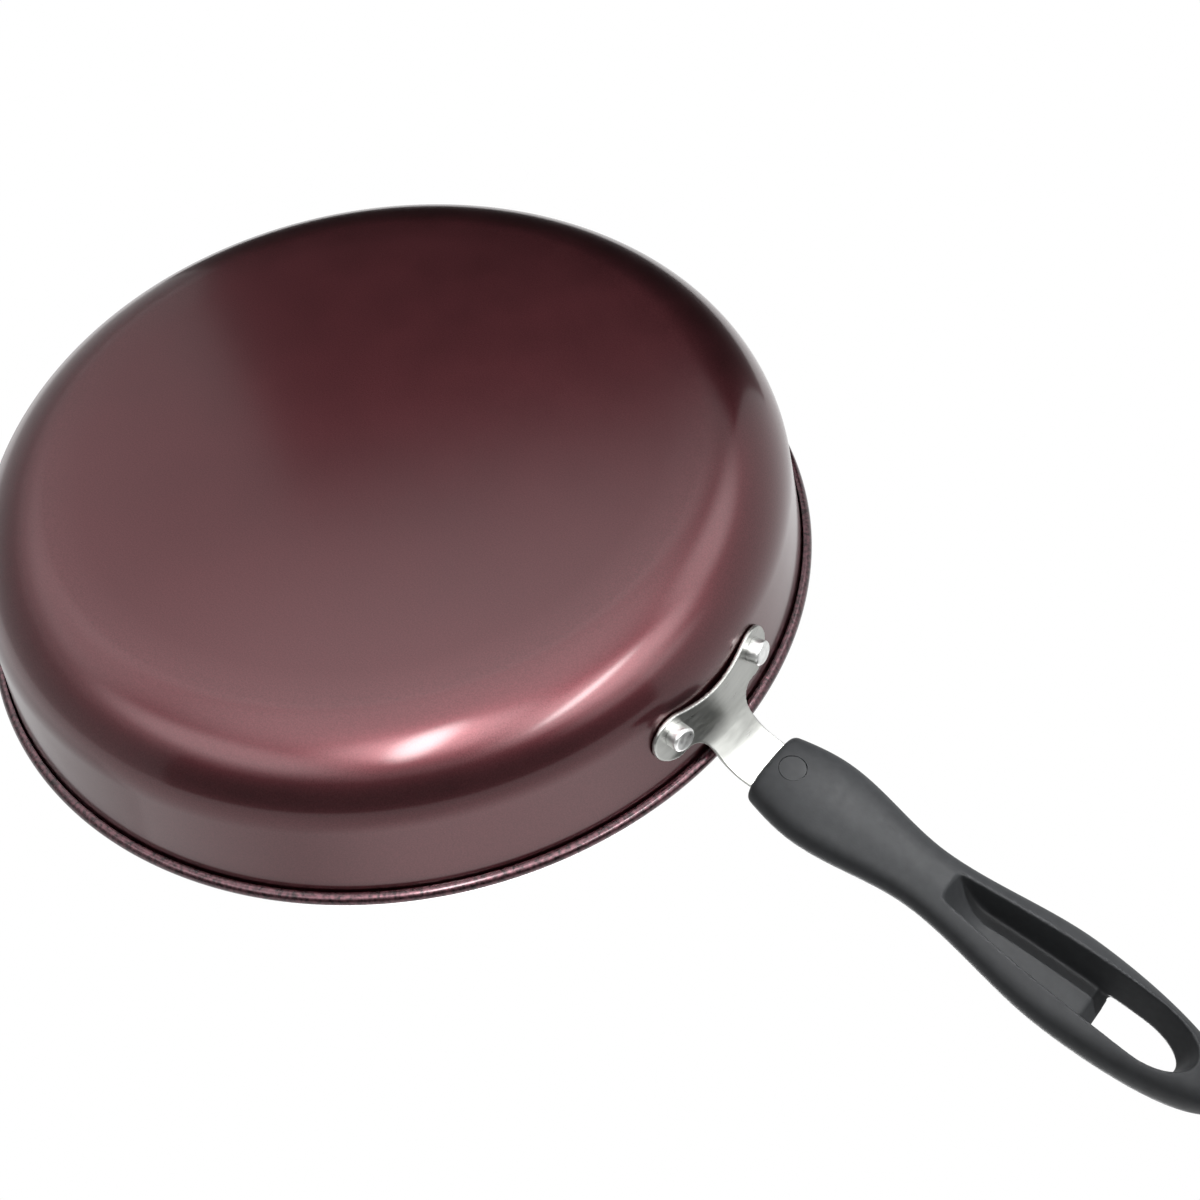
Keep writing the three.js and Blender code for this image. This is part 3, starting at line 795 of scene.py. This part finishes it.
def tint(tree, colour, source, low):
    """Darkens a colour by a slow drift, down to a lowest share of it."""
    node = tree.nodes.new("ShaderNodeMix")
    node.data_type = "RGBA"
    node.blend_type = "MULTIPLY"
    node.inputs["Factor"].default_value = 1
    drift = ramp(tree, source, (low,) * 3, (1,) * 3)
    tree.links.new(colour, node.inputs["A"])
    tree.links.new(drift, node.inputs["B"])
    return node.outputs["Result"]


def finish_surface(tree, shader, colour, roughness, height, relief):
    """Gives a shader its colour and roughness, and a relief that is counted in millimetres."""
    bump = tree.nodes.new("ShaderNodeBump")
    bump.inputs["Distance"].default_value = relief * MM
    tree.links.new(height, bump.inputs["Height"])
    tree.links.new(bump.outputs["Normal"], shader.inputs["Normal"])
    tree.links.new(colour, shader.inputs["Base Color"])
    tree.links.new(roughness, shader.inputs["Roughness"])


def pearl_paint(name, deep, pearl, fleck):
    """Pearl pigment in a dark base under a clear lacquer."""
    material, tree, shader = new_material(name)
    pigment = ramp(tree, noise(tree, fleck, detail=3), deep, pearl)
    colour = tint(tree, pigment, noise(tree, PAINT_DRIFT), PAINT_DRIFT_LOW)
    roughness = level(tree, noise(tree, PAINT_HAZE), *PAINT_ROUGHNESS)
    finish_surface(tree, shader, colour, roughness, noise(tree, PAINT_RIPPLE), PAINT_RELIEF)
    shader.inputs["Metallic"].default_value = 1
    shader.inputs["Coat Weight"].default_value = LACQUER
    shader.inputs["Coat Roughness"].default_value = LACQUER_ROUGHNESS
    shader.inputs["Coat IOR"].default_value = LACQUER_IOR
    return material


def non_stick():
    """Dark baked coat with fine flecks."""
    material, tree, shader = new_material("non_stick_coat")
    colour = ramp(tree, noise(tree, COAT_GRAIN), COAT_DARK, COAT_FLECK, *COAT_FLECK_RANGE)
    roughness = level(tree, noise(tree, COAT_HAZE), *COAT_ROUGHNESS)
    finish_surface(tree, shader, colour, roughness, noise(tree, COAT_RIPPLE, detail=3), COAT_RELIEF)
    return material


def metal(name, dull, bright, middle_roughness, relief, stretch=(1, 1, 1)):
    """Bare metal with a fine grain, which a stretch below 1 draws out along that axis."""
    material, tree, shader = new_material(name)
    grain = noise(tree, METAL_GRAIN, detail=4, stretch=stretch)
    colour = tint(tree, ramp(tree, grain, dull, bright), noise(tree, METAL_DRIFT), METAL_DRIFT_LOW)
    roughness = level(tree, grain, middle_roughness - METAL_SMOOTHER, middle_roughness + METAL_ROUGHER)
    finish_surface(tree, shader, colour, roughness, grain, relief)
    shader.inputs["Metallic"].default_value = 1
    return material


def phenolic():
    """Dark moulded resin with a fine matt grain."""
    material, tree, shader = new_material("phenolic")
    grain = noise(tree, PHENOLIC_GRAIN, detail=4)
    colour = ramp(tree, grain, PHENOLIC_DARK, PHENOLIC_GREY, *PHENOLIC_GRAIN_RANGE)
    roughness = level(tree, noise(tree, PHENOLIC_HAZE), *PHENOLIC_ROUGHNESS)
    ripple = noise(tree, PHENOLIC_RIPPLE, detail=3)
    finish_surface(tree, shader, colour, roughness, ripple, PHENOLIC_RELIEF)
    shader.inputs["Specular IOR Level"].default_value = PHENOLIC_SPECULAR
    return material


# Stage

def smooth_range(tree, source, start, end):
    """Rises smoothly from 0 to 1 while a value goes from start to end."""
    node = tree.nodes.new("ShaderNodeMapRange")
    node.interpolation_type = "SMOOTHSTEP"
    node.inputs["From Min"].default_value = start
    node.inputs["From Max"].default_value = end
    tree.links.new(source, node.inputs["Value"])
    return node.outputs["Result"]


def largest(tree, sources):
    """The largest of several values, at most 1."""
    result = sources[0]
    for source in sources[1:]:
        node = tree.nodes.new("ShaderNodeMath")
        node.operation = "MAXIMUM"
        node.use_clamp = True
        tree.links.new(result, node.inputs[0])
        tree.links.new(source, node.inputs[1])
        result = node.outputs[0]
    return result


def mix_shaders(tree, share, first, second, output):
    """Goes from one shader to another as a share goes from 0 to 1."""
    mix = tree.nodes.new("ShaderNodeMixShader")
    tree.links.new(share, mix.inputs["Fac"])
    tree.links.new(first, mix.inputs[1])
    tree.links.new(second, mix.inputs[2])
    tree.links.new(mix.outputs["Shader"], tree.nodes[output].inputs["Surface"])


def make_world():
    """White to the camera and to reflections, and a plain even light on the object."""
    world = bpy.data.worlds.new("studio")
    world.use_nodes = True
    tree = world.node_tree
    lit = tree.nodes["Background"]
    white = tree.nodes.new("ShaderNodeBackground")
    for background, strength in ((lit, AMBIENT), (white, 1)):
        background.inputs["Color"].default_value = (1, 1, 1, 1)
        background.inputs["Strength"].default_value = strength
    path = tree.nodes.new("ShaderNodeLightPath")
    rays = ("Is Camera Ray", "Is Glossy Ray", "Is Transmission Ray")
    seen = largest(tree, [path.outputs[ray] for ray in rays])
    mix_shaders(tree, seen, lit.outputs["Background"], white.outputs["Background"], "World Output")
    bpy.context.scene.world = world


def stage_sheet(name, points, faces, material):
    mesh = bpy.data.meshes.new(name)
    mesh.from_pydata(points, [], faces)
    mesh.materials.append(material)
    sheet = add_object(name, mesh)
    return sheet


def make_floor():
    """A pale floor that melts into the white around it and lets through whatever is seen from below."""
    material, tree, shader = new_material("floor")
    shader.inputs["Base Color"].default_value = (*FLOOR_COLOUR, 1)
    shader.inputs["Roughness"].default_value = FLOOR_ROUGHNESS
    shader.inputs["Specular IOR Level"].default_value = 0
    place = tree.nodes.new("ShaderNodeTexCoord")
    away = tree.nodes.new("ShaderNodeVectorMath")
    away.operation = "LENGTH"
    tree.links.new(place.outputs["Object"], away.inputs[0])
    melt = smooth_range(tree, away.outputs["Value"], FLOOR_PLAIN, FLOOR_REACH)
    side = tree.nodes.new("ShaderNodeNewGeometry")
    path = tree.nodes.new("ShaderNodeLightPath")
    clear = tree.nodes.new("ShaderNodeBsdfTransparent")
    see_through = largest(tree, [melt, side.outputs["Backfacing"], path.outputs["Transparent Depth"]])
    mix_shaders(tree, see_through, shader.outputs["BSDF"], clear.outputs["BSDF"], "Material Output")
    corners = [(FLOOR_REACH * x, FLOOR_REACH * y, -FLOOR_GAP) for x, y in SQUARE]
    stage_sheet("floor", corners, [(0, 1, 2, 3)], material)


def make_card(name, start, end, bottom, top, clearness, lean=0, climb=0):
    """A curved dark card round the pan that shows only in reflections and fades out at its lower edge.

    It runs from one azimuth to another. Lean moves the top of its first side back, and climb lifts the
    far end of its lower edge.
    """
    material, tree, shader = new_material(name)
    shader.inputs["Base Color"].default_value = (*CARD_COLOUR, 1)
    shader.inputs["Roughness"].default_value = 1
    cover = tree.nodes.new("ShaderNodeAttribute")
    cover.attribute_name = "cover"
    clear = tree.nodes.new("ShaderNodeBsdfTransparent").outputs["BSDF"]
    mix_shaders(tree, cover.outputs["Fac"], clear, shader.outputs["BSDF"], "Material Output")
    points = []
    for i in range(ARC_STEPS + 1):
        share = i / ARC_STEPS
        low = math.radians(start + (end - start) * share)
        high = math.radians(start - lean + (end - start + lean) * share)
        edge = bottom + climb * share
        for angle, height in ((low, edge - CARD_FADE), (low, edge), (high, top)):
            points.append((CARD_DISTANCE * math.cos(angle), CARD_DISTANCE * math.sin(angle), height))
    faces = []
    for i in range(0, 3 * ARC_STEPS, 3):
        faces += [(i, i + 3, i + 4, i + 1), (i + 1, i + 4, i + 5, i + 2)]
    card = stage_sheet(name, points, faces, material)
    card.visible_camera = False
    card.visible_diffuse = False
    card.visible_transmission = False
    card.visible_shadow = False
    shares = card.data.attributes.new("cover", "FLOAT", "POINT")
    shares.data.foreach_set("value", [0, 1 - clearness, 1 - clearness] * (ARC_STEPS + 1))


def fade_to_edge(data):
    """Lets an oval lamp grow dimmer towards its edge; the lamp counts as one unit across."""
    middle = (0.5, 0.5, 0)
    edge = 0.5
    data.use_nodes = True
    tree = data.node_tree
    place = tree.nodes.new("ShaderNodeNewGeometry")
    reach = tree.nodes.new("ShaderNodeVectorMath")
    reach.operation = "DISTANCE"
    reach.inputs[1].default_value = middle
    tree.links.new(place.outputs["Parametric"], reach.inputs[0])
    fade = smooth_range(tree, reach.outputs["Value"], edge, edge * LAMP_CORE)
    tree.links.new(fade, tree.nodes["Emission"].inputs["Strength"])


def aim(azimuth, tilt, distance):
    """A lamp's place and turn, facing the origin; tilt counts from straight below."""
    around = Matrix.Rotation(math.radians(azimuth), 4, "Z")
    swing = Matrix.Rotation(math.radians(180 - tilt), 4, "Y")
    return around @ swing @ Matrix.Translation((0, 0, distance))


def hang(name, data, matrix):
    """Hangs a lamp that the camera doesn't see."""
    lamp = add_object(name, data)
    lamp.matrix_world = matrix
    lamp.visible_camera = False
    return lamp


def soft_box(name, azimuth, tilt, length, width, radiance, turn=0, diffuse=False):
    """An oval lamp with a soft edge that faces the pan.

    Azimuth, tilt and the turn about its own axis are in degrees, and length and width in metres.
    """
    data = bpy.data.lights.new(name, "AREA")
    data.shape = "ELLIPSE"
    data.size = width
    data.size_y = length
    data.energy = radiance * math.pi * (math.pi / 4 * length * width)
    fade_to_edge(data)
    spin = Matrix.Rotation(math.radians(turn), 4, "Z")
    lamp = hang(name, data, aim(azimuth, tilt, LAMP_DISTANCE) @ spin)
    lamp.visible_diffuse = diffuse


def grip_spot():
    """A narrow spot on the grip, which gives the resin a soft sheen along its middle."""
    data = bpy.data.lights.new("spot_grip", "SPOT")
    data.energy = SPOT_POWER
    data.spot_size = math.radians(SPOT_CONE)
    data.spot_blend = SPOT_BLEND
    data.shadow_soft_size = SPOT_SIZE
    at_grip = Matrix.Translation((SPOT_AT * MM, 0, PAN_HEIGHT * MM))
    hang("spot_grip", data, at_grip @ aim(SPOT_AZIMUTH, SPOT_TILT, SPOT_DISTANCE))


def make_lights():
    """Two strips and a spot on the handle's side, broad panels round the base and lamps over the rim."""
    # Azimuth, tilt, length, width and radiance of each lamp, and the turn of the strips
    soft_box("strip_front", 46, 32, 1.10, 0.36, 23, 77)
    soft_box("strip_handle", -3, 48.5, 1.10, 0.20, 20, 21)
    soft_box("panel_below", 0, 0, 2.8, 2.8, 1.9)
    soft_box("panel_front", 40, 33, 1.6, 1.05, 4.2)
    soft_box("panel_handle", 353, 51, 2.0, 0.95, 4.7)
    soft_box("panel_high", 350, 70, 1.5, 0.58, 1.9)
    soft_box("panel_side", 100, 48, 2.2, 0.80, 2.5)
    soft_box("panel_left", 168, 46, 1.8, 0.85, 1)
    soft_box("panel_right", 300, 48, 1.5, 0.85, 2.35)
    soft_box("panel_back", 218, 34, 1.9, 0.62, 0.9)
    soft_box("panel_above", 30, 140, 2.3, 1.6, 0.7, diffuse=True)
    soft_box("lamp_above", 214, 174, 1.15, 1.15, 6.5, diffuse=True)
    grip_spot()


def make_camera():
    right = Vector(CAMERA_RIGHT)
    up = -Vector(CAMERA_DOWN)
    back = right.cross(up)
    data = bpy.data.cameras.new("camera")
    data.lens = CAMERA_LENS
    data.sensor_width = CAMERA_SENSOR
    camera = add_object("camera", data)
    rotation = Matrix((right, up, back)).transposed().to_4x4()
    camera.matrix_world = Matrix.Translation(CAMERA_AT) @ rotation
    bpy.context.scene.camera = camera


# The object

paint = pearl_paint("pearl_paint", PAINT_DEEP, PAINT_PEARL, PAINT_FLECK)
# A darker copy of the pan's paint for the bead, as painted shade in the rim's curl
shaded_bead_paint = pearl_paint("shaded_bead_paint", BEAD_SHADED_DEEP, BEAD_SHADED_PEARL, BEAD_FLECK)
steel = metal("stamped_steel", STEEL_DULL, STEEL_BRIGHT, STEEL_ROUGHNESS, STEEL_RELIEF, STEEL_BRUSHING)
aluminium = metal(
    "rivet_aluminium", ALUMINIUM_DULL, ALUMINIUM_BRIGHT, ALUMINIUM_ROUGHNESS, FASTENER_RELIEF
)
zinc = metal("zinc_plate", ZINC_DULL, ZINC_BRIGHT, ZINC_ROUGHNESS, FASTENER_RELIEF)
resin = phenolic()

make_pan(paint, shaded_bead_paint, non_stick())
make_bracket(steel)
for side, node in ((1, "rivet_left"), (-1, "rivet_right")):
    make_rivet(side, node, aluminium)
make_grip(resin)
make_plug(resin)
for node in ("handle_screw", "lock_washer"):
    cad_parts[node].material_slots[0].material = zinc

# The studio

make_world()
make_floor()
# First and last azimuth, lower and upper edge and clearness of each card
make_card("card_back", 212.4, 230, -1.54, 0.38, 0, lean=7)
make_card("card_right", 230, 271, -1.54, 0.38, 0, climb=0.65)
make_card("card_front", -12, 104, -0.70, 0.34, 0.18)
make_card("card_left", 104, 212.2, -0.60, 0.30, 0.55)
make_card("card_high", 125, 230, 0.9, 2.6, 0.7)
make_lights()
make_camera()
bpy.context.scene.view_settings.view_transform = "Standard"
